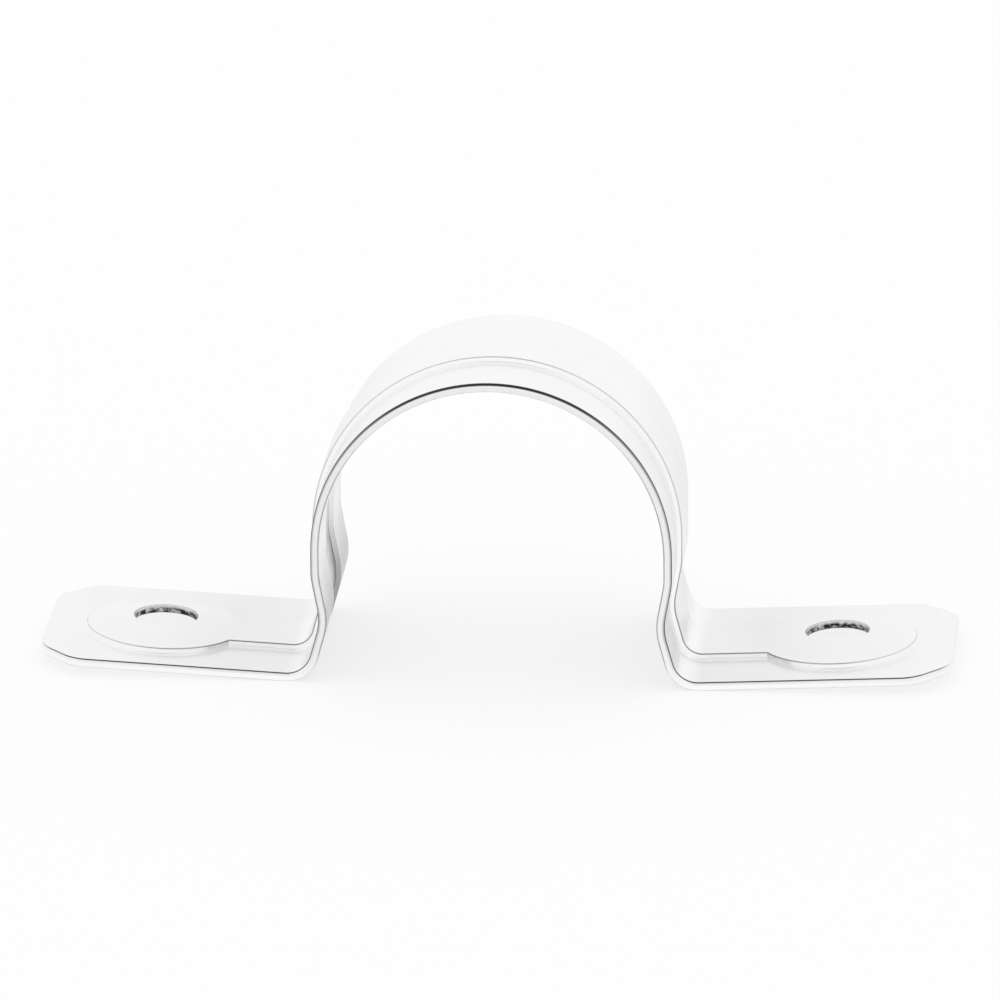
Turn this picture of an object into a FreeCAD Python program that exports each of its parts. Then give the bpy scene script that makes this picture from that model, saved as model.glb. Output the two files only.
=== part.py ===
import FreeCAD, Part
import math
import os

# A two-hole strap for 1-1/4 in EMT conduit. It is one strip of zinc-plated sheet steel: an arch over the conduit,
# a leg on each side with a pinched waist, and a foot with a screw hole. A raised rib runs along the middle of the
# strip and opens into a round boss at each hole, and the same shape is hollow underneath.
# Millimetres. X runs along the strip, Y along the conduit, Z up. The origin is the conduit's axis, half-way
# across the strip.

# The strip
SHEET = 0.95              # thickness of the steel
STRIP_WIDTH = 25.4
STRAP_LENGTH = 102.0      # over both feet

# The bent line, measured on the outer face
BORE_RADIUS = 19.2        # inside the arch
LEG_STRAIGHT = 3.0        # upright part of a leg, below the conduit's axis
WAIST_DROP = 8.2          # the waist, below the conduit's axis
WAIST_LEAN = 10.5         # degrees that a leg leans in, down to its waist
FLARE_LEAN = 15.2         # degrees that it leans out again below
HEEL_DROP = 14.36         # where the line of the leg meets the foot's top face
FOOT_TILT = 2.8           # degrees that a foot rises to its end
CREASE_RADIUS = 8.0       # soft bend where a leg starts to lean in
WAIST_RADIUS = 3.0
HEEL_RADIUS = 2.6

# The raised rib and the bosses
RIB_WIDTH = 9.2
RIB_RISE = 0.58
BOSS_RADIUS = 8.9
THROAT_RADIUS = 0.4       # where the rib opens into a boss, seen from above
WALL_INSET = 0.55         # the hollow underneath is narrower than the rib by this on each side
CREST_BEVEL = 0.25        # bevel along the upper edge of the rib and the bosses
CROWN_RADIUS = 31.0       # the crown of a boss is part of a sphere
CROWN_MARGIN = 0.8        # flat top between a boss's wall and its crown
CROWN_BLEND = 2.5         # hollow round between the crown and that flat top

# Holes and outline
HOLE_RADIUS = 3.57
HOLE_SPACING = 75.7       # between the two holes, along X
CORNER_CUT = 4.0          # sloped cut at each corner of a foot
CORNER_RADIUS = 2.0       # rounding at both ends of that cut
EDGE_ROLL = 0.22          # rounding that the punch leaves along the outer face's border

# Construction blocks reach past the strap by this much
SPARE = 6.0
FLOOR = -HEEL_DROP - 2 * SPARE
FLAT_LIMIT = math.radians(5.0)    # two faces that meet at less than this angle are one smooth surface


def leg_corners(level):
    """Corners of the right-hand line from the arch's end to past the foot, at a height above the outer face."""
    radius = BORE_RADIUS + SHEET
    waist_x = radius - math.tan(math.radians(WAIST_LEAN)) * (WAIST_DROP - LEG_STRAIGHT)
    heel_x = waist_x + math.tan(math.radians(FLARE_LEAN)) * (HEEL_DROP - WAIST_DROP)
    end_x = STRAP_LENGTH / 2 + SPARE
    end_z = math.tan(math.radians(FOOT_TILT)) * (end_x - heel_x) - HEEL_DROP
    line = [
        FreeCAD.Vector(radius, 0, 0),
        FreeCAD.Vector(radius, 0, -LEG_STRAIGHT),
        FreeCAD.Vector(waist_x, 0, -WAIST_DROP),
        FreeCAD.Vector(heel_x, 0, -HEEL_DROP),
        FreeCAD.Vector(end_x, 0, end_z),
    ]
    return shifted_line(line, level)


def shifted_line(line, level):
    """The same line moved sideways by a distance, each corner along the bisector of its two stretches."""
    sides = []
    for start, end in zip(line, line[1:]):
        run = (end - start).normalize()
        sides.append(FreeCAD.Vector(-run.z, 0, run.x))
    moved = [line[0] + sides[0] * level]
    for corner, before, after in zip(line[1:], sides, sides[1:]):
        moved.append(corner + (before + after) * (level / (1 + before.dot(after))))
    moved.append(line[-1] + sides[-1] * level)
    return moved


def rounded_line(corners, radii):
    """Straight edges through the corners, with a tangent arc of its own radius at each inner corner."""
    edges = []
    start = corners[0]
    for before, corner, after, radius in zip(corners, corners[1:], corners[2:], radii):
        back = (before - corner).normalize()
        ahead = (after - corner).normalize()
        half_angle = back.getAngle(ahead) / 2
        reach = radius / math.tan(half_angle)
        middle = corner + (back + ahead).normalize() * (radius / math.sin(half_angle) - radius)
        arc_start = corner + back * reach
        arc_end = corner + ahead * reach
        edges.append(Part.makeLine(start, arc_start))
        edges.append(Part.Arc(arc_start, middle, arc_end).toShape())
        start = arc_end
    edges.append(Part.makeLine(start, corners[-1]))
    return edges


def mirrored(shape):
    """The same shape on the other side of the conduit."""
    return shape.mirror(FreeCAD.Vector(0, 0, 0), FreeCAD.Vector(1, 0, 0))


def level_block(level):
    """Everything below the bent line at a height above the outer face, across the strip's width."""
    corners = leg_corners(level)
    radii = [CREASE_RADIUS + level, WAIST_RADIUS - level, HEEL_RADIUS - level]
    right = rounded_line(corners, radii)
    end = corners[-1]
    foot_of_end = FreeCAD.Vector(end.x, 0, FLOOR)
    right.append(Part.makeLine(end, foot_of_end))
    left = [mirrored(edge) for edge in right]
    top_of_arch = FreeCAD.Vector(0, 0, corners[0].x)
    springing = FreeCAD.Vector(-corners[0].x, 0, 0)
    arch = Part.Arc(corners[0], top_of_arch, springing).toShape()
    base = Part.makeLine(foot_of_end, FreeCAD.Vector(-end.x, 0, FLOOR))
    outline = Part.Wire(Part.__sortEdges__(right + left + [arch, base]))
    section = Part.Face(outline)
    section.translate(FreeCAD.Vector(0, -STRIP_WIDTH / 2, 0))
    return section.extrude(FreeCAD.Vector(0, STRIP_WIDTH, 0))


def onto_foot(shape):
    """Carry a shape drawn about the Z axis to the right-hand hole, square to the foot, with Z 0 on its top face."""
    heel, end = leg_corners(0)[-2:]
    share = (HOLE_SPACING / 2 - heel.x) / (end.x - heel.x)
    place = heel + (end - heel) * share
    tilt = FreeCAD.Rotation(FreeCAD.Vector(0, 1, 0), -FOOT_TILT)
    carried = shape.copy()
    carried.Placement = FreeCAD.Placement(place, tilt)
    return carried


def on_both_feet(shape):
    """Two copies of a shape drawn about the Z axis, one at each hole."""
    right = onto_foot(shape)
    return [right, mirrored(right)]


def plan_prism(outline):
    """A tall prism over a flat outline, for cutting in the foot's own direction."""
    face = Part.Face(Part.Wire(outline))
    face.translate(FreeCAD.Vector(0, 0, FLOOR))
    return face.extrude(FreeCAD.Vector(0, 0, SPARE - FLOOR))


def foot_plate():
    """Outline of a foot with its cut corners, drawn about the hole and reaching in to the heel."""
    end = (STRAP_LENGTH - HOLE_SPACING) / 2 / math.cos(math.radians(FOOT_TILT))
    half = STRIP_WIDTH / 2
    side = [
        FreeCAD.Vector(-BOSS_RADIUS, -half, 0),
        FreeCAD.Vector(end - CORNER_CUT, -half, 0),
        FreeCAD.Vector(end, CORNER_CUT - half, 0),
        FreeCAD.Vector(end, half - CORNER_CUT, 0),
        FreeCAD.Vector(end - CORNER_CUT, half, 0),
        FreeCAD.Vector(-BOSS_RADIUS, half, 0),
    ]
    edges = rounded_line(side, [CORNER_RADIUS] * 4)
    edges.append(Part.makeLine(side[-1], side[0]))
    return plan_prism(edges)


def middle_box(width):
    """A box over the arch and the legs, out to where both feet are flat."""
    reach = HOLE_SPACING / 2 - BOSS_RADIUS + CORNER_CUT
    height = 2 * (BORE_RADIUS + SPARE)
    corner = FreeCAD.Vector(-reach, -width / 2, FLOOR - SPARE)
    return Part.makeBox(2 * reach, width, height - FLOOR, corner)


def boss_plan(inset):
    """Outline of a boss and the end of the rib that runs into it, drawn about the hole."""
    half = RIB_WIDTH / 2 - inset
    boss = BOSS_RADIUS - inset
    throat = THROAT_RADIUS + inset
    centre_x = -math.sqrt((boss + throat) ** 2 - (half + throat) ** 2)
    centre = FreeCAD.Vector(centre_x, -half - throat, 0)
    on_rib = FreeCAD.Vector(centre_x, -half, 0)
    on_boss = centre * (boss / (boss + throat))
    between = centre + (on_rib + on_boss - centre * 2).normalize() * throat
    start = FreeCAD.Vector(-BOSS_RADIUS - CORNER_CUT, -half, 0)
    side = [
        Part.makeLine(start, on_rib),
        Part.Arc(on_rib, between, on_boss).toShape(),
    ]
    over = FreeCAD.Vector(0, 1, 0)
    other_side = [edge.mirror(FreeCAD.Vector(0, 0, 0), over) for edge in side]
    round_end = Part.Arc(on_boss, FreeCAD.Vector(boss, 0, 0), FreeCAD.Vector(on_boss.x, -on_boss.y, 0)).toShape()
    back = Part.makeLine(start, FreeCAD.Vector(start.x, half, 0))
    return Part.__sortEdges__(side + [round_end] + other_side + [back])


def sharp_top_edges(block):
    """The edges round the top of a block that stands on FLOOR, without the smooth joins between its faces."""
    picked = []
    for edge in block.Edges:
        if min(vertex.Z for vertex in edge.Vertexes) < FLOOR + SPARE:
            continue
        first, last = edge.ParameterRange
        point = edge.valueAt((first + last) / 2)
        normals = []
        for face in block.ancestorsOfType(edge, Part.Face):
            u, v = face.Surface.parameter(point)
            normals.append(face.normalAt(u, v))
        if len(normals) == 2 and normals[0].getAngle(normals[1]) > FLAT_LIMIT:
            picked.append(edge)
    return picked


def raised_field(level, inset):
    """The rib with its two bosses, flat on top, up to a height above the outer face."""
    plan = middle_box(RIB_WIDTH - 2 * inset).multiFuse(on_both_feet(plan_prism(boss_plan(inset))))
    return level_block(level).common(plan.removeSplitter()).removeSplitter()


def crown(depth):
    """The crown of a boss, its surface lying a distance below the outer one, as a plug about the Z axis."""
    end_x = BOSS_RADIUS - CROWN_MARGIN
    ball = CROWN_RADIUS - depth
    blend = CROWN_BLEND + depth
    blend_centre = FreeCAD.Vector(end_x, 0, RIB_RISE + CROWN_BLEND)
    ball_drop = math.sqrt((CROWN_RADIUS + CROWN_BLEND) ** 2 - end_x ** 2)
    ball_centre = FreeCAD.Vector(0, 0, blend_centre.z - ball_drop)
    up = FreeCAD.Vector(0, 0, 1)
    reach = (blend_centre - ball_centre).normalize()
    middle = (reach + up).normalize()
    top = ball_centre + up * ball
    meeting = ball_centre + reach * ball
    end = blend_centre - up * blend
    end_below = FreeCAD.Vector(end_x, 0, -SPARE)
    below = FreeCAD.Vector(0, 0, -SPARE)
    edges = [
        Part.Arc(top, ball_centre + middle * ball, meeting).toShape(),
        Part.Arc(meeting, blend_centre - middle * blend, end).toShape(),
        Part.makeLine(end, end_below),
        Part.makeLine(end_below, below),
        Part.makeLine(below, top),
    ]
    profile = Part.Face(Part.Wire(edges))
    return profile.revolve(FreeCAD.Vector(0, 0, 0), up, 360)


def outer_body():
    """Everything under the strap's outer face: the trimmed strip, the raised rib and bosses, and the crowns."""
    outline = middle_box(STRIP_WIDTH).multiFuse(on_both_feet(foot_plate())).removeSplitter()
    strip = level_block(0).common(outline).removeSplitter()
    strip = strip.makeFillet(EDGE_ROLL, sharp_top_edges(strip))
    field = raised_field(RIB_RISE, 0)
    field = field.makeChamfer(CREST_BEVEL, sharp_top_edges(field))
    return strip.multiFuse([field] + on_both_feet(crown(0)))


def inner_body():
    """Everything under the inner face, with the rib's hollow and the hollows of the crowns."""
    hollow = raised_field(RIB_RISE - SHEET, WALL_INSET)
    return level_block(-SHEET).multiFuse([hollow] + on_both_feet(crown(SHEET)))


def strap():
    """The finished strap, one solid."""
    up = FreeCAD.Vector(0, 0, 1)
    hole = Part.makeCylinder(HOLE_RADIUS, 2 * SPARE, up * -SPARE, up)
    sheet = outer_body().cut(inner_body())
    for punch in on_both_feet(hole):
        sheet = sheet.cut(punch)
    return sheet.removeSplitter()


os.makedirs("parts", exist_ok=True)
strap().exportStep("parts/strap.step")
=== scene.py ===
import math
import random

import bmesh
import bpy
from mathutils import Matrix, Vector
from mathutils.geometry import delaunay_2d_cdt


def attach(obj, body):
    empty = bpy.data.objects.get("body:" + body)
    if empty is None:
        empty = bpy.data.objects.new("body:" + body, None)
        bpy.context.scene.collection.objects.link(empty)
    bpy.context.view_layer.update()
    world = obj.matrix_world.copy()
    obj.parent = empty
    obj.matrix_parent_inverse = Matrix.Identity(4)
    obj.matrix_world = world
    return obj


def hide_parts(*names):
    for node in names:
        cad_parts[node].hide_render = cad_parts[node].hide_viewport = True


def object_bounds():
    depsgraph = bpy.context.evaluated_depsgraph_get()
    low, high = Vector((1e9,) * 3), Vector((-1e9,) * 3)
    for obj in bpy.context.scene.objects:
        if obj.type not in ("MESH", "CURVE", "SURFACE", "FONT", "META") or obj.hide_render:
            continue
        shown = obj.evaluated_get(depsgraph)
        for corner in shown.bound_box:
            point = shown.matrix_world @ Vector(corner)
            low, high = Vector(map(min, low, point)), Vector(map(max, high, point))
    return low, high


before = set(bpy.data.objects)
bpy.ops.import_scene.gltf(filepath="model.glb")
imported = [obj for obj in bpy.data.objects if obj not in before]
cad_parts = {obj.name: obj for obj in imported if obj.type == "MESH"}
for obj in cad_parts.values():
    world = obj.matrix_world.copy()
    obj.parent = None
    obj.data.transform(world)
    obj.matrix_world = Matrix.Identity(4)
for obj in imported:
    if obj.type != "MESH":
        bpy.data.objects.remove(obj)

# A two-hole conduit strap of zinc-plated sheet steel, on a white floor. X runs along the strap, Y along the
# conduit, Z up, and the origin is the conduit's axis, half-way across the strip.
# The strap is made as it is in the press: a flat blank with its rib, bosses and holes, which is then bent.

MM = 0.001

# The strip, in millimetres
SHEET = 0.95
STRIP_WIDTH = 25.4
STRAP_LENGTH = 102.0

# The bent line of the outer face
BORE_RADIUS = 19.2
LEG_STRAIGHT = 3.0
WAIST_DROP = 8.2
WAIST_LEAN = math.radians(10.5)
FLARE_LEAN = math.radians(15.2)
HEEL_DROP = 14.36
FOOT_TILT = math.radians(2.8)
CREASE_RADIUS = 8.0
WAIST_RADIUS = 6.5
HEEL_RADIUS = 2.8
BEND_STEP = math.radians(2.25)     # turn from one row of faces to the next
LINE_STEP = math.radians(0.25)     # the same along the guiding line
LINE_SPARE = 3.0                   # guiding line past the strap's ends

# The rib and the bosses
RIB_WIDTH = 9.2
RIB_RISE = 0.58
BOSS_RADIUS = 8.9
THROAT_RADIUS = 0.4
THROAT_STEPS = 8
WALL_INSET = 0.55                  # the hollow underneath is narrower than the rib by this on each side
WALL_SLOPE = math.radians(88.0)
WALL_SHIFT = 0.08                  # from the rib's nominal side in to the middle of its wall
WALL_FOOT_RADIUS = 0.03
CREST_RADIUS = 0.18
CREST_LINE = (0.0, 0.3, 1.0, 0.9, 0.0)   # how strong the painted dark reflection on the crest is, from the top down
WALL_RIM = 0.3                     # flat rim on both sides of the wall, which keeps its neighbours flat
HOLLOW_SHIFT = -0.04
HOLLOW_RADIUS = 0.15
ROUND_STEPS = 4
CROWN_RADIUS = 31.0
CROWN_MARGIN = 0.8
CROWN_BLEND = 2.5
CROWN_RINGS = 12

# Holes and outline
HOLE_RADIUS = 3.57
HOLE_SPACING = 75.7
HOLE_SEGMENTS = 192
CORNER_CUT = 4.0
CORNER_RADIUS = 4.0
CORNER_STEPS = 10

# Cut edges
EDGE_ROLL = 0.30
HOLE_ROLL = 0.06
ROLL_STEPS = 6
FRACTURE_START = 0.42              # share of the sheet that the punch cuts smooth
FRACTURE_TAPER = 0.035
BURR = 0.04
BURR_WIDTH = 0.024
INNER_INSET = FRACTURE_TAPER + BURR_WIDTH
TORN_STEPS = 4
TEAR_DEPTH = 0.022                 # roughness of the torn part of a hole
TEAR_BLEND = 0.4                   # share of each tear that goes on into the next
TEAR_FADE = 0.1                    # part of the way round the edge in which the tears begin
TEAR_SEED = 11
EDGE_LEAN = 0.13                   # how far the arch's bend draws the outer edge of its sides in
LEAN_POWER = 8                     # how fast that fades inwards from the edge

# Places round a cut edge, from 0 on the outer face to 1 on the inner one
ROLL_END = 0.5
SMOOTH_END = 0.6
BURR_PLACE = 0.7
TORN_END = 0.9

# The painted dark reflection along a slit's cut edge, on its roll and on its burr
CORNER_EDGE_REFLECTION = 0.8                  # on the cut corners, against 1 along the slit sides
BURR_START = 12.0                  # where the painted dark reflection on the burr begins along the line, and where it is full
BURR_FULL = 28.0

FACE_LENGTH = 1.0                  # longest face along a straight run
JOIN_RUN = 0.5                     # flat part of the foot in the bent rows
WELD = 0.00002                     # corners of one face that are closer than this are the same
MERGE = 0.0001                     # the same for points of neighbouring faces

# What each point of the blank tells the finish
MARKS = ("cut_edge", "hole_wall", "slit_edge", "crest_line")
RUN = 80.0                         # the finish counts lengths along the line in this

# Camera
CAMERA_TARGET = Vector((-0.000047, 0.0, 0.002362))
CAMERA_DISTANCE = 1.405
CAMERA_AZIMUTH = math.radians(5.07)
CAMERA_ELEVATION = math.radians(18.65)
CAMERA_ROLL = math.radians(0.354)
CAMERA_LENS = 452.5
CAMERA_REACH = 50.0

# Room
FLOOR_SIZE = 12.0
FLOOR_CAMERA = 0.72                # share of even white in the floor as the camera sees it
FLOOR_THROUGH = 0.90               # the same through glass
FLOOR_FADE = 200.0                 # distance over which the floor changes in reflections, in millimetres
PATCH_HEIGHT = math.radians(66.0)  # height of the dark patch overhead
PATCH_DARK = math.radians(14.0)    # where its dark middle ends, and where its soft border ends
PATCH_END = math.radians(26.0)
PATCH_SHADE = 0.45

cad_low, cad_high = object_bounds()


# The bent line

def line_runs():
    """Length and turn of each run of the outer face's line, from the crown to the right foot's end."""
    radius = BORE_RADIUS + SHEET
    leg_turn = WAIST_LEAN + FLARE_LEAN
    heel_turn = math.pi / 2 - FLARE_LEAN + FOOT_TILT
    crease_reach = CREASE_RADIUS * math.tan(WAIST_LEAN / 2)
    waist_reach = WAIST_RADIUS * math.tan(leg_turn / 2)
    heel_reach = HEEL_RADIUS * math.tan(heel_turn / 2)
    upper = (WAIST_DROP - LEG_STRAIGHT) / math.cos(WAIST_LEAN)
    lower = (HEEL_DROP - WAIST_DROP) / math.cos(FLARE_LEAN)
    foot = (STRAP_LENGTH / 2 - heel_x()) / math.cos(FOOT_TILT)
    return [
        (radius * math.pi / 2, -math.pi / 2),
        (LEG_STRAIGHT - crease_reach, 0.0),
        (CREASE_RADIUS * WAIST_LEAN, -WAIST_LEAN),
        (upper - crease_reach - waist_reach, 0.0),
        (WAIST_RADIUS * leg_turn, leg_turn),
        (lower - waist_reach - heel_reach, 0.0),
        (HEEL_RADIUS * heel_turn, heel_turn),
        (foot - heel_reach, 0.0),
    ]


def heel_x():
    """Where the line of the leg meets the line of the foot."""
    waist_x = BORE_RADIUS + SHEET - math.tan(WAIST_LEAN) * (WAIST_DROP - LEG_STRAIGHT)
    return waist_x + math.tan(FLARE_LEAN) * (HEEL_DROP - WAIST_DROP)


def hole_to_end():
    """Length of the foot from the hole's axis to its end."""
    return (STRAP_LENGTH - HOLE_SPACING) / 2 / math.cos(FOOT_TILT)


def hole_place():
    """Length of the line from the crown to the hole's axis."""
    return sum(length for length, turn in line_runs()) - hole_to_end()


def join_place():
    """Where the bent rows end on the foot, from the hole's axis."""
    return bend_rows()[-1] - hole_place()


def bend_rows():
    """Places along the right half of the line up to the flat foot, closest where the line bends."""
    rows = [0.0]
    for length, turn in line_runs()[:-1]:
        count = math.ceil(max(abs(turn) / BEND_STEP, length / FACE_LENGTH if turn == 0.0 else 1.0))
        start = rows[-1]
        rows += [start + length * (step + 1) / count for step in range(count)]
    rows.append(rows[-1] + JOIN_RUN)
    return rows


def all_rows():
    """The same places on both sides of the crown, from left to right."""
    rows = bend_rows()
    return [-row for row in reversed(rows[1:])] + rows


def eased(value, start, end):
    """0 before the start, 1 after the end and a smooth rise between."""
    share = max(0.0, min(1.0, (value - start) / (end - start)))
    return share * share * (3 - 2 * share)


def arch_share(place):
    """1 where the strip is bent round the conduit, easing to 0 down the legs."""
    arch_end = line_runs()[0][0]
    return 1 - eased(abs(place), arch_end - LEG_STRAIGHT, arch_end + LEG_STRAIGHT)


def burr_reflection_share(place):
    """1 down the sides of arch and legs, where the slit's burr has a painted dark reflection, and 0 on the
    crown and feet.
    """
    heel_end = bend_rows()[-1]
    faded = eased(abs(place), heel_end - 2 * HEEL_RADIUS, heel_end - HEEL_RADIUS)
    return eased(abs(place), BURR_START, BURR_FULL) * (1 - faded)


def guiding_line():
    """The outer face's line as a curve, in metres, with a little to spare past both ends."""
    place = Vector((0.0, 0.0, BORE_RADIUS + SHEET))
    heading = 0.0
    points = [place.copy()]
    runs = line_runs()
    runs[-1] = (runs[-1][0] + LINE_SPARE, 0.0)
    for length, turn in runs:
        count = max(1, math.ceil(abs(turn) / LINE_STEP))
        for step in range(count):
            half = turn / count / 2
            chord = length / count * (math.sin(half) / half if half else 1.0)
            heading += half
            place = place + Vector((math.cos(heading), 0.0, math.sin(heading))) * chord
            heading += half
            points.append(place.copy())
    left = [Vector((-point.x, 0.0, point.z)) for point in reversed(points[1:])]
    data = bpy.data.curves.new("guiding_line", "CURVE")
    data.dimensions = "3D"
    spline = data.splines.new("POLY")
    whole = left + points
    spline.points.add(len(whole) - 1)
    for slot, point in zip(spline.points, whole):
        slot.co = (point.x * MM, point.y * MM, point.z * MM, 1.0)
    line = bpy.data.objects.new("guiding_line", data)
    bpy.context.scene.collection.objects.link(line)
    return line


# Sections and outlines of the flat blank

def wall_section(middle, foot_radius, crest_radius):
    """Section across a side of the rib, as pairs of distance in from the nominal side and height."""
    turns = [WALL_SLOPE * step / ROUND_STEPS for step in range(ROUND_STEPS + 1)]
    foot = [(foot_radius * math.sin(turn), foot_radius * (1 - math.cos(turn))) for turn in turns]
    crest = [(-crest_radius * math.sin(turn), RIB_RISE - crest_radius * (1 - math.cos(turn)))
             for turn in reversed(turns)]
    wall_height = crest[0][1] - foot[-1][1]
    shift = foot[-1][0] + wall_height / math.tan(WALL_SLOPE) - crest[0][0]
    section = foot + [(across + shift, height) for across, height in crest]
    half = section[-1][0] / 2
    return [(across - half + middle, height) for across, height in section]


def rimmed(section):
    """A wall's section with a narrow flat rim before its foot and after its crest."""
    first, last = section[0], section[-1]
    return [(first[0] - WALL_RIM, first[1])] + section + [(last[0] + WALL_RIM, last[1])]


def cut_section(roll, drop):
    """Section of a cut edge from the outer face to the inner one: inset, depth and place round the edge."""
    section = []
    for step in range(ROLL_STEPS + 1):
        turn = math.pi / 2 * step / ROLL_STEPS
        place = ROLL_END * step / ROLL_STEPS
        section.append((roll * (1 - math.sin(turn)), roll * (1 - math.cos(turn)), place))
    smooth = drop * FRACTURE_START
    section.append((0.0, smooth, SMOOTH_END))
    for step in range(1, TORN_STEPS + 1):
        share = step / TORN_STEPS
        depth = smooth + (drop - smooth - BURR) * share
        section.append((FRACTURE_TAPER * share, depth, SMOOTH_END + (TORN_END - SMOOTH_END) * share))
    section.append((INNER_INSET, drop, 1.0))
    return section


def rib_outline(inset, start):
    """The rib's side, throat and boss about the hole, moved in by a distance, from join to join."""
    half_width = RIB_WIDTH / 2
    centre_x = -math.sqrt((BOSS_RADIUS + THROAT_RADIUS) ** 2 - (half_width + THROAT_RADIUS) ** 2)
    centre = Vector((centre_x, -half_width - THROAT_RADIUS))
    boss_angle = math.atan2(centre.y, centre.x)
    end_angle = boss_angle + math.pi
    side = [Vector((start, inset - half_width))]
    for step in range(THROAT_STEPS + 1):
        angle = math.pi / 2 + (end_angle - math.pi / 2) * step / THROAT_STEPS
        side.append(centre + Vector((math.cos(angle), math.sin(angle))) * (THROAT_RADIUS + inset))
    boss_steps = HOLE_SEGMENTS // 2
    for step in range(1, boss_steps + 1):
        angle = boss_angle * (1 - step / boss_steps)
        side.append(Vector((math.cos(angle), math.sin(angle))) * (BOSS_RADIUS - inset))
    other = [Vector((point.x, -point.y)) for point in reversed(side[:-1])]
    return side + other


def ring(radius):
    """A circle about the hole."""
    angles = [2 * math.pi * step / HOLE_SEGMENTS for step in range(HOLE_SEGMENTS)]
    return [Vector((math.cos(angle), math.sin(angle))) * radius for angle in angles]


def crown_height(distance, depth):
    """Height of a boss's crown at a distance from the hole's axis, on the outer face or below it."""
    end = BOSS_RADIUS - CROWN_MARGIN
    blend_height = RIB_RISE + CROWN_BLEND
    drop = math.sqrt((CROWN_RADIUS + CROWN_BLEND) ** 2 - end ** 2)
    meeting = end * (CROWN_RADIUS - depth) / (CROWN_RADIUS + CROWN_BLEND)
    if distance < meeting:
        return blend_height - drop + math.sqrt((CROWN_RADIUS - depth) ** 2 - distance ** 2)
    return blend_height - math.sqrt((CROWN_BLEND + depth) ** 2 - (end - distance) ** 2)


def foot_border(start):
    """The foot's outline about its hole, from join to join: points and their ways outwards."""
    end = hole_to_end()
    half = STRIP_WIDTH / 2
    corners = [
        Vector((end - CORNER_CUT, -half)),
        Vector((end, CORNER_CUT - half)),
        Vector((end, half - CORNER_CUT)),
        Vector((end - CORNER_CUT, half)),
    ]
    along = [-math.pi / 2, -math.pi / 4, 0.0, math.pi / 4, math.pi / 2]
    border = [(Vector((start, -half)), Vector((0.0, -1.0)))]
    for corner, first, last in zip(corners, along, along[1:]):
        middle = (first + last) / 2
        reach = CORNER_RADIUS / math.cos((last - first) / 2)
        centre = corner - Vector((math.cos(middle), math.sin(middle))) * reach
        way = Vector((math.cos(first), math.sin(first)))
        border += even_points(border[-1][0], centre + way * CORNER_RADIUS, way)
        for step in range(1, CORNER_STEPS + 1):
            angle = first + (last - first) * step / CORNER_STEPS
            way = Vector((math.cos(angle), math.sin(angle)))
            border.append((centre + way * CORNER_RADIUS, way))
    border += even_points(border[-1][0], Vector((start, half)), Vector((0.0, 1.0)))
    return border


def even_points(start, end, way):
    """Points along a straight edge after its start, each with its way outwards."""
    count = math.ceil((end - start).length / FACE_LENGTH)
    return [(start.lerp(end, step / count), way) for step in range(1, count + 1)]


def even_values(start, end):
    """Values from start to end, not further apart than a face's length."""
    count = math.ceil(abs(end - start) / FACE_LENGTH)
    return [start + (end - start) * step / count for step in range(count + 1)]


def on_foot(point, height, way):
    """A point drawn about the hole as a place on the blank, on the right foot or, with way -1, the left."""
    return ((point.x + hole_place()) * way, point.y, height)


# The flat blank

class Blank:
    """The flat blank in millimetres. Each point carries its marks, which the finish reads.

    The cut edge's mark is the place round it, 0 on the outer face and 1 on the inner one. The hole wall's
    is 1 in a hole and on the inner face. The last two say how strong the painted dark reflections on a
    slit's edge and on the crest line are.
    """

    def __init__(self):
        self.mesh = bmesh.new()
        self.layers = [self.mesh.verts.layers.float.new(mark) for mark in MARKS]

    def point(self, place, cut, hole, slit=0.0, crest=0.0):
        made = self.mesh.verts.new(place)
        for layer, value in zip(self.layers, (cut, hole, slit, crest)):
            made[layer] = value
        return made

    def face(self, corners):
        different = []
        for corner in corners:
            if all((corner.co - other.co).length > WELD for other in different):
                different.append(corner)
        if len(different) > 2:
            self.mesh.faces.new(different)

    def bands(self, lines, closed):
        """Faces between each line of points and the next."""
        for line, following in zip(lines, lines[1:]):
            pairs = list(zip(line, following))
            if closed:
                pairs.append(pairs[0])
            for (first, above), (second, above_second) in zip(pairs, pairs[1:]):
                self.face([first, second, above_second, above])

    def flat(self, outline, height, cut, hole_radius=0.0):
        """A flat face inside an outline about the hole, open in the middle, on both feet."""
        points = [Vector(point) for point in outline]
        loops = [list(range(len(points)))]
        if hole_radius:
            loops.append(list(range(len(points), len(points) + HOLE_SEGMENTS)))
            points += ring(hole_radius)
        edges = []
        for loop in loops:
            edges += list(zip(loop, loop[1:] + loop[:1]))
        flat_points, _, triangles, *_ = delaunay_2d_cdt(points, edges, [loops[0]], 1, WELD)
        for way in (1, -1):
            places = [self.point(on_foot(point, height, way), cut, cut) for point in flat_points]
            for triangle in triangles:
                middle = sum((flat_points[index] for index in triangle), Vector((0.0, 0.0))) / 3
                if middle.length > hole_radius:
                    self.face([places[index] for index in triangle])

    def foot_bands(self, lines, heights, cuts, closed, crests=None):
        """Bands between outlines about the hole, each at its own height, on both feet."""
        crests = crests or [0.0] * len(lines)
        for way in (1, -1):
            rows = []
            for line, height, cut, crest in zip(lines, heights, cuts, crests):
                places = [on_foot(point, height, way) for point in line]
                rows.append([self.point(place, cut, float(cut > 0.0), 0.0, crest) for place in places])
            self.bands(rows, closed)


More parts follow.
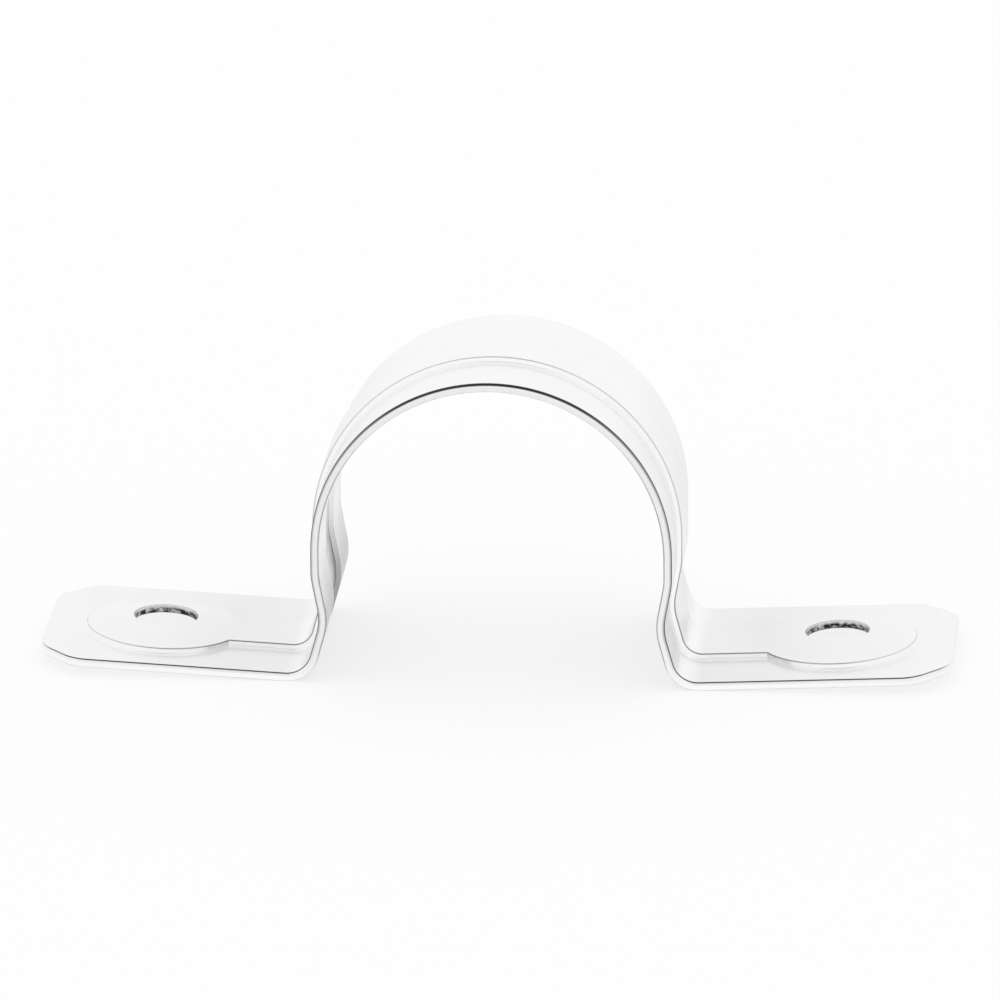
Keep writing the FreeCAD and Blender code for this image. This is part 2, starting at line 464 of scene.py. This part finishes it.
def sheet_side(blank, low, section, border_inset, hole_inset, wall_inset):
    """One face of the sheet, its margins at the low level: margins, the rib's walls and top, crowns."""
    join = join_place()
    half = STRIP_WIDTH / 2 - border_inset
    top = low + RIB_RISE
    cut = 1.0 if low else 0.0
    levels = [low + height for across, height in section]
    crests = [0.0] * len(section)
    if not low:
        crests[-len(CREST_LINE) - 1:-1] = reversed(CREST_LINE)
    outlines = [rib_outline(wall_inset + across, join) for across, height in section]
    foot_y, crest_y = outlines[0][0].y, outlines[-1][0].y

    # Margins and top of the feet
    margin = [point - way * border_inset for point, way in foot_border(join)]
    upper_join = [Vector((join, y)) for y in even_values(half, -foot_y)[1:-1]]
    lower_join = [Vector((join, y)) for y in even_values(foot_y, -half)[1:-1]]
    blank.flat(margin + upper_join + outlines[0][::-1] + lower_join, low, cut)
    top_join = [Vector((join, y)) for y in even_values(-crest_y, crest_y)[1:-1]]
    crown_end = BOSS_RADIUS - CROWN_MARGIN
    blank.flat(outlines[-1] + top_join, top, cut, crown_end)
    blank.foot_bands(outlines, levels, [cut] * len(section), False, crests)

    # Crowns
    hole_start = HOLE_RADIUS + hole_inset
    radii = [crown_end + (hole_start - crown_end) * step / CROWN_RINGS for step in range(CROWN_RINGS + 1)]
    heights = [crown_height(radius, -low) for radius in radii]
    blank.foot_bands([ring(radius) for radius in radii], heights, [cut] * len(radii), True)

    # Bent rows between the feet
    side = [(outline[0].y, level, crest) for outline, level, crest in zip(outlines, levels, crests)]
    across = [(y, low, 0.0) for y in even_values(-half, foot_y)[:-1]] + side
    across += [(y, top, 0.0) for y in even_values(crest_y, -crest_y)[1:-1]]
    across += [(-y, level, crest) for y, level, crest in reversed(side)]
    across += [(y, low, 0.0) for y in even_values(-foot_y, half)[1:]]
    lines = []
    for row in all_rows():
        lean = 0.0 if low else EDGE_LEAN / half * arch_share(row)
        line = []
        for y, height, crest in across:
            leaned = y * (1 - lean * abs(y / half) ** LEAN_POWER)
            line.append(blank.point((row, leaned, height), cut, cut, 0.0, crest))
        lines.append(line)
    blank.bands(lines, False)


def slit_edge_reflection(place, way, cut):
    """How strong the painted dark reflection on a slit's edge is, by the place along the line, the way
    outwards and the place round it.
    """
    if cut in (0.0, 1.0):   # shared with the faces, which have none
        return 0.0
    edge_reflection = min(1.0, 2 * CORNER_EDGE_REFLECTION * way.y ** 2)
    return edge_reflection * burr_reflection_share(place) if cut > BURR_PLACE else edge_reflection


def border_bands(blank):
    """The cut edge all the way round the blank."""
    half = STRIP_WIDTH / 2
    right = [(Vector((point.x + hole_place(), point.y)), way) for point, way in foot_border(join_place())]
    left = [(Vector((-point.x, -point.y)), -way) for point, way in right]
    near = [(Vector((row, -half)), Vector((0.0, -1.0))) for row in all_rows()[1:-1]]
    far = [(Vector((-row, half)), Vector((0.0, 1.0))) for row in all_rows()[1:-1]]
    lines = []
    for inset, drop, cut in cut_section(EDGE_ROLL, SHEET):
        line = []
        for point, way in near + right + far + left:
            lean = EDGE_LEAN * arch_share(point.x) * (1 - drop / SHEET) ** 2
            place = point - way * (inset + lean)
            slit = slit_edge_reflection(point.x, way, cut)
            line.append(blank.point((place.x, place.y, -drop), cut, float(cut == 1.0), slit))
        lines.append(line)
    blank.bands(lines, True)


def hole_bands(blank):
    """The walls of both holes, torn in their lower part."""
    rough = random.Random(TEAR_SEED)
    coarse = [rough.uniform(-1.0, 1.0) for segment in range(HOLE_SEGMENTS)]
    tears = [TEAR_DEPTH * ((1 - TEAR_BLEND) * coarse[segment] + TEAR_BLEND * coarse[segment - 1])
             for segment in range(HOLE_SEGMENTS)]
    top = crown_height(HOLE_RADIUS + HOLE_ROLL, 0.0)
    bottom = crown_height(HOLE_RADIUS + INNER_INSET, SHEET)
    lines, heights, cuts = [], [], []
    for inset, drop, cut in cut_section(HOLE_ROLL, top - bottom):
        torn = 0.0 if cut == 1.0 else max(0.0, min(1.0, (cut - SMOOTH_END) / TEAR_FADE))
        line = []
        for point, tear in zip(ring(1.0), tears):
            line.append(point * (HOLE_RADIUS + inset + max(0.0, tear * torn)))
        lines.append(line)
        heights.append(top - drop)
        cuts.append(cut)
    blank.foot_bands(lines, heights, cuts, True)


def flat_blank():
    """The finished blank as a closed mesh in metres, its place along the line in X."""
    blank = Blank()
    wall = rimmed(wall_section(WALL_SHIFT, WALL_FOOT_RADIUS, CREST_RADIUS))
    hollow = wall_section(HOLLOW_SHIFT, HOLLOW_RADIUS, HOLLOW_RADIUS)
    sheet_side(blank, 0.0, wall, EDGE_ROLL, HOLE_ROLL, 0.0)
    sheet_side(blank, -SHEET, hollow, INNER_INSET, INNER_INSET, WALL_INSET)
    border_bands(blank)
    hole_bands(blank)
    bmesh.ops.remove_doubles(blank.mesh, verts=blank.mesh.verts, dist=MERGE)
    bmesh.ops.recalc_face_normals(blank.mesh, faces=blank.mesh.faces)
    bmesh.ops.scale(blank.mesh, vec=(MM, MM, MM), verts=blank.mesh.verts)
    mesh = bpy.data.meshes.new("flat_blank")
    blank.mesh.to_mesh(mesh)
    blank.mesh.free()
    return mesh


# Nodes

class Socket:
    """A node's output that can be written in a sum or a product."""

    def __init__(self, tree, link):
        self.tree = tree
        self.link = link

    def other(self, name):
        """Another output of the same node."""
        return Socket(self.tree, self.link.node.outputs[name])

    def maths(self, operation, left, right):
        return self.tree.node("ShaderNodeMath", {"operation": operation}, [left, right])

    def __add__(self, other):
        return self.maths("ADD", self, other)

    def __radd__(self, other):
        return self.maths("ADD", other, self)

    def __mul__(self, other):
        return self.maths("MULTIPLY", self, other)

    def __rmul__(self, other):
        return self.maths("MULTIPLY", other, self)


class NodeTree:
    """The nodes of one material, world or geometry group."""

    def __init__(self, node_tree):
        self.nodes = node_tree.nodes
        self.links = node_tree.links
        self.nodes.clear()

    def node(self, kind, settings=None, inputs=None, output=0):
        """Add a node: its settings first, then the values or links of its sockets, by place or by name."""
        made = self.nodes.new(kind)
        for name, value in (settings or {}).items():
            setattr(made, name, value)
        pairs = enumerate(inputs) if isinstance(inputs, list) else (inputs or {}).items()
        for key, value in pairs:
            if isinstance(value, Socket):
                self.links.new(value.link, made.inputs[key])
            else:
                made.inputs[key].default_value = value
        return Socket(self, made.outputs[output]) if len(made.outputs) else None

    def vector(self, operation, *inputs, output="Vector"):
        return self.node("ShaderNodeVectorMath", {"operation": operation}, list(inputs), output)

    def mark(self, name, output):
        """What the points of the mesh tell the finish."""
        return self.node("ShaderNodeAttribute", {"attribute_name": name}, output=output)

    def ramp(self, value, stops):
        """A shade that follows a value through its stops."""
        shade = self.node("ShaderNodeValToRGB", {}, [value])
        elements = shade.link.node.color_ramp.elements
        while len(elements) < len(stops):
            elements.new(1.0)
        for element, (place, level) in zip(elements, stops):
            element.position = place
            element.color = grey(level)
        return shade

    def mix(self, share, first, second):
        """Two colours mixed. The node takes them in its sockets 6 and 7, and gives the mix in output 2."""
        return self.node("ShaderNodeMix", {"data_type": "RGBA"}, {0: share, 6: first, 7: second}, 2)

    def noise(self, place, scale, detail=2.0):
        return self.node("ShaderNodeTexNoise", {}, {"Vector": place, "Scale": scale, "Detail": detail})

    def stretched(self, place, scale):
        """A place with each axis scaled by its own amount."""
        return self.node("ShaderNodeMapping", {}, {"Vector": place, "Scale": scale})


def shader_tree(owner):
    """The empty node tree of a material or a world."""
    owner.use_nodes = True
    return NodeTree(owner.node_tree)


def grey(value):
    return (value, value, value, 1.0)


# Bending the blank

def bending_tree():
    """Geometry nodes that lay the flat blank along the guiding line and give it its finish."""
    group = bpy.data.node_groups.new("bend_strip", "GeometryNodeTree")
    group.interface.new_socket("Geometry", in_out="INPUT", socket_type="NodeSocketGeometry")
    group.interface.new_socket("Guiding Line", in_out="INPUT", socket_type="NodeSocketObject")
    group.interface.new_socket("Finish", in_out="INPUT", socket_type="NodeSocketMaterial")
    group.interface.new_socket("Geometry", in_out="OUTPUT", socket_type="NodeSocketGeometry")
    tree = NodeTree(group)
    given = tree.node("NodeGroupInput", output="Geometry")
    place = tree.node("GeometryNodeInputPosition")
    parts = tree.node("ShaderNodeSeparateXYZ", {}, [place])
    line = tree.node("GeometryNodeObjectInfo", {}, {"Object": given.other("Guiding Line")}, "Geometry")
    along = 0.5 * tree.node("GeometryNodeCurveLength", {}, {"Curve": line}) + parts.other("X")
    on_line = tree.node("GeometryNodeSampleCurve", {"mode": "LENGTH"},
                        {"Curves": line, "Length": along}, "Position")

    # The way out of the strip is square to its line and to the conduit
    outward = tree.vector("CROSS_PRODUCT", on_line.other("Tangent"), (0.0, 1.0, 0.0))
    upright = tree.vector("NORMALIZE", outward)
    risen = tree.node("ShaderNodeVectorMath", {"operation": "SCALE"},
                      {"Vector": upright, "Scale": parts.other("Z")})
    across = tree.node("ShaderNodeCombineXYZ", {}, {"Y": parts.other("Y")})
    bent = tree.vector("ADD", on_line, tree.vector("ADD", risen, across))

    # The flat place stays with each point, for the finish that follows the strip
    kept = tree.node("GeometryNodeStoreNamedAttribute", {"data_type": "FLOAT_VECTOR", "domain": "POINT"},
                     {"Geometry": given, "Name": "flat_place", "Value": place})
    moved = tree.node("GeometryNodeSetPosition", {}, {"Geometry": kept, "Position": bent})
    smooth = tree.node("GeometryNodeSetShadeSmooth", {}, {"Geometry": moved})
    real = tree.node("GeometryNodeRealizeInstances", {}, {"Geometry": smooth})
    finished = tree.node("GeometryNodeSetMaterial", {},
                         {"Geometry": real, "Material": given.other("Finish")})
    tree.node("NodeGroupOutput", {}, {"Geometry": finished})
    return group


def bent_strap(finish):
    """The strap: the blank bent along the guiding line, as one plain mesh."""
    line = guiding_line()
    blank = bpy.data.objects.new("flat_blank", flat_blank())
    bpy.context.scene.collection.objects.link(blank)
    bend = blank.modifiers.new("bend", "NODES")
    bend.node_group = bending_tree()
    given = {item.name: item.identifier for item in bend.node_group.interface.items_tree
             if item.in_out == "INPUT"}
    bend[given["Guiding Line"]] = line
    bend[given["Finish"]] = finish
    bpy.context.view_layer.update()
    shape = blank.evaluated_get(bpy.context.evaluated_depsgraph_get())
    mesh = bpy.data.meshes.new_from_object(shape)
    mesh.name = "strap_plate"
    bpy.data.objects.remove(blank)
    bpy.data.objects.remove(line)
    strap = bpy.data.objects.new("strap_plate", mesh)
    bpy.context.scene.collection.objects.link(strap)
    weigh = strap.modifiers.new("flat_faces_first", "WEIGHTED_NORMAL")
    weigh.mode = "FACE_AREA"
    weigh.weight = 50
    return strap


# The finish. Its places along the line are shares of RUN from the crown: the arch ends at 0.40, the waist
# is at 0.50, the heel from 0.55 to 0.60, the boss from 0.67 to 0.89, and the foot's end at 0.95.

def face_colour(tree, run, climb, cut, mottle):
    """The sheet's faces: duller where they were bent, with painted reflections and a painted highlight
    along the bends, painted light on the rib's walls and painted shade inside the waist.
    """
    # Duller zinc where the bends worked it, mixed with painted reflections: darkest down the leg below the
    # waist, a painted highlight in the heel's bend, and the feet darker by the heel and lighter outboard.
    worked_and_painted_light = tree.ramp(run, [
        (0.0, 0.0), (0.20, 0.12), (0.40, 0.30), (0.46, 0.35), (0.51, 1.0), (0.545, 1.0),
        (0.575, 0.0), (0.60, 0.70), (0.68, 0.90), (0.78, 0.45), (0.95, 0.25),
    ])
    colour = tree.mix(0.70 * worked_and_painted_light + 0.30 * mottle, grey(0.965), (0.775, 0.780, 0.785, 1.0))
    # Painted light: the rib's walls are painted white, which lifts the shade of their reflection in the
    # margins beside them.
    wall_painted_light = tree.ramp(climb, [(0.0, 0.0), (0.05, 1.0), (0.90, 1.0), (0.98, 0.0)])
    colour = tree.mix(wall_painted_light, colour, grey(1.0))
    # Painted shade on the inner faces round the waist and heels.
    inside = tree.ramp(cut, [(0.96, 0.0), (1.0, 1.0)])
    shaded = tree.ramp(run, [(0.40, 0.0), (0.46, 0.55), (0.50, 1.0), (0.60, 1.0), (0.70, 0.0)])
    return tree.mix(inside * shaded, colour, tree.mix(mottle, grey(0.60), grey(0.22)))


def cut_colour(tree, run, hole, torn):
    """The cut edges: pale round the strip, and on the feet a painted highlight; in the holes painted shade,
    near black with brighter tears.
    """
    # Painted highlight: the cut edges of the feet are painted white.
    feet_painted_highlight = tree.ramp(run, [(0.54, 0.0), (0.60, 1.0)])
    border = tree.mix(feet_painted_highlight, tree.mix(torn, grey(0.88), grey(0.98)), grey(1.0))
    # Painted shade in the holes: their walls near black, with brighter streaks from the tears.
    wall = tree.mix(tree.ramp(torn, [(0.42, 0.0), (0.66, 1.0)]), grey(0.02), grey(0.60))
    return tree.mix(hole, border, wall)


def edge_reflection_share(tree, run, cut):
    """The painted dark reflection on a cut edge: on its roll, wide on the arch, narrow on the feet, and on
    its burr.
    """
    wide = tree.ramp(cut, [(0.04, 0.0), (0.13, 1.0), (0.40, 1.0), (0.52, 0.0)])
    narrow = tree.ramp(cut, [(0.06, 0.0), (0.13, 1.0), (0.22, 1.0), (0.32, 0.0)])
    narrowed = tree.ramp(run, [(0.13, 0.0), (0.30, 0.6), (0.50, 0.6), (0.56, 1.0)])
    burr_reflection = tree.ramp(cut, [(0.82, 0.0), (0.87, 0.60), (0.94, 0.60), (0.98, 0.0)])
    return tree.mix(narrowed, wide, narrow) + burr_reflection


def zinc_plate():
    """Bright zinc over cold-rolled sheet, with the marks of the punch and the bends, and painted light,
    shade and dark reflections.
    """
    material = bpy.data.materials.new("zinc_plate")
    tree = shader_tree(material)
    place = tree.node("ShaderNodeTexCoord", output="Object")
    flat = tree.mark("flat_place", "Vector")
    cut, hole, slit, crest = [tree.mark(name, "Fac") for name in MARKS]
    along = tree.vector("DOT_PRODUCT", flat, (1 / (RUN * MM), 0.0, 0.0), output="Value")
    run = tree.node("ShaderNodeMath", {"operation": "ABSOLUTE"}, [along])
    climb = tree.vector("DOT_PRODUCT", flat, (0.0, 0.0, 1 / (RIB_RISE * MM)), output="Value")

    mottle = tree.noise(place, 110.0, 3.0)
    grain = tree.noise(place, 3800.0)
    rolled = tree.noise(tree.stretched(flat, (60.0, 5200.0, 60.0)), 1.0, 3.0)
    torn = tree.noise(tree.stretched(flat, (1500.0, 1500.0, 1900.0)), 1.0, 4.0)

    on_cut = tree.ramp(cut, [(0.50, 0.0), (0.62, 1.0), (0.96, 1.0), (1.0, 0.0)])
    colour = tree.mix(on_cut, face_colour(tree, run, climb, cut, mottle), cut_colour(tree, run, hole, torn))
    # Painted dark reflections: a dark line on the rolls of the slit edges and the hole rims, and along the
    # burr.
    edge_reflection = edge_reflection_share(tree, run, cut) * tree.node("ShaderNodeMath", {"operation": "MAXIMUM"}, [slit, hole])
    colour = tree.mix(edge_reflection, colour, grey(0.05))
    # Painted dark reflection along the rib's crest, strongest from the waist to the boss.
    crest_reflection = tree.ramp(run, [
        (0.0, 0.42), (0.38, 0.50), (0.50, 0.90), (0.68, 0.90), (0.80, 0.60), (0.88, 0.35),
    ])
    colour = tree.mix(crest * crest_reflection, colour, grey(0.12))
    height = 0.5 * rolled + 0.5 * grain + torn * on_cut
    bump = tree.node("ShaderNodeBump", {}, {"Strength": 0.06, "Distance": 0.02 * MM, "Height": height})
    surface = tree.node("ShaderNodeBsdfPrincipled", {}, {
        "Base Color": colour,
        "Metallic": 1.0,
        "Roughness": 0.20 + 0.08 * mottle + 0.04 * rolled + 0.12 * on_cut,
        "Normal": bump,
    })
    tree.node("ShaderNodeOutputMaterial", {}, {"Surface": surface})
    return material


# The room

def floor_paint():
    """White floor that keeps a soft shadow. The metal shows it white, and a little greyer further away."""
    material = bpy.data.materials.new("floor_paint")
    tree = shader_tree(material)
    camera = tree.node("ShaderNodeLightPath", output="Is Camera Ray")
    glossy = camera.other("Is Glossy Ray")
    through = camera.other("Is Transmission Ray")
    away = tree.vector("LENGTH", tree.node("ShaderNodeTexCoord", output="Object"), output="Value")
    fade = tree.ramp(1 / (FLOOR_FADE * MM) * away, [(0.0, 1.0), (0.16, 1.0), (0.34, 0.94), (0.8, 0.96)])
    shown = tree.mix(glossy, grey(1.0), fade)
    matt = tree.node("ShaderNodeBsdfDiffuse", {}, {"Color": grey(0.97)})
    white = tree.node("ShaderNodeEmission", {}, {"Color": shown, "Strength": 1.0})
    share = FLOOR_CAMERA * camera + glossy + FLOOR_THROUGH * through
    mixed = tree.node("ShaderNodeMixShader", {}, [share, matt, white])
    tree.node("ShaderNodeOutputMaterial", {}, {"Surface": mixed})
    return material


def room_world():
    """A white room. In the metal it has one dark patch, overhead to the front, which draws its edges."""
    world = bpy.data.worlds.new("room")
    bpy.context.scene.world = world
    tree = shader_tree(world)
    glossy = tree.node("ShaderNodeLightPath", output="Is Glossy Ray")
    way = tree.node("ShaderNodeTexCoord")
    patch = (0.0, -math.cos(PATCH_HEIGHT), math.sin(PATCH_HEIGHT))
    near = tree.vector("DOT_PRODUCT", way, patch, output="Value")
    shade = tree.ramp(near, [
        (0.0, 1.0), (math.cos(PATCH_END), 1.0), (math.cos(PATCH_DARK), PATCH_SHADE), (1.0, PATCH_SHADE),
    ])
    colour = tree.mix(glossy, grey(1.0), shade)
    ground = tree.node("ShaderNodeBackground", {}, {"Color": colour, "Strength": 1.0})
    tree.node("ShaderNodeOutputWorld", {}, {"Surface": ground})


def place_camera():
    """The camera on the front of the strap, a little to the right and above."""
    level_right = Vector((math.cos(CAMERA_AZIMUTH), math.sin(CAMERA_AZIMUTH), 0.0))
    ahead = Vector((math.sin(CAMERA_AZIMUTH), -math.cos(CAMERA_AZIMUTH), 0.0))
    back = ahead * math.cos(CAMERA_ELEVATION) + Vector((0.0, 0.0, math.sin(CAMERA_ELEVATION)))
    level_up = back.cross(level_right)
    right = level_right * math.cos(CAMERA_ROLL) - level_up * math.sin(CAMERA_ROLL)
    up = level_right * math.sin(CAMERA_ROLL) + level_up * math.cos(CAMERA_ROLL)
    data = bpy.data.cameras.new("camera")
    data.lens = CAMERA_LENS
    data.clip_end = CAMERA_REACH
    camera = bpy.data.objects.new("camera", data)
    bpy.context.scene.collection.objects.link(camera)
    axes = Matrix((right, up, back)).transposed().to_4x4()
    axes.translation = CAMERA_TARGET + back * CAMERA_DISTANCE
    camera.matrix_world = axes
    bpy.context.scene.camera = camera


def lay_floor(height):
    half = FLOOR_SIZE / 2
    corners = [(-half, -half, height), (half, -half, height), (half, half, height), (-half, half, height)]
    mesh = bpy.data.meshes.new("floor")
    mesh.from_pydata(corners, [], [(0, 1, 2, 3)])
    mesh.materials.append(floor_paint())
    floor = bpy.data.objects.new("floor", mesh)
    bpy.context.scene.collection.objects.link(floor)


strap = bent_strap(zinc_plate())
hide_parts("strap")
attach(strap, "root")

lay_floor(cad_low.z)
room_world()
place_camera()
bpy.context.scene.view_settings.view_transform = "Standard"
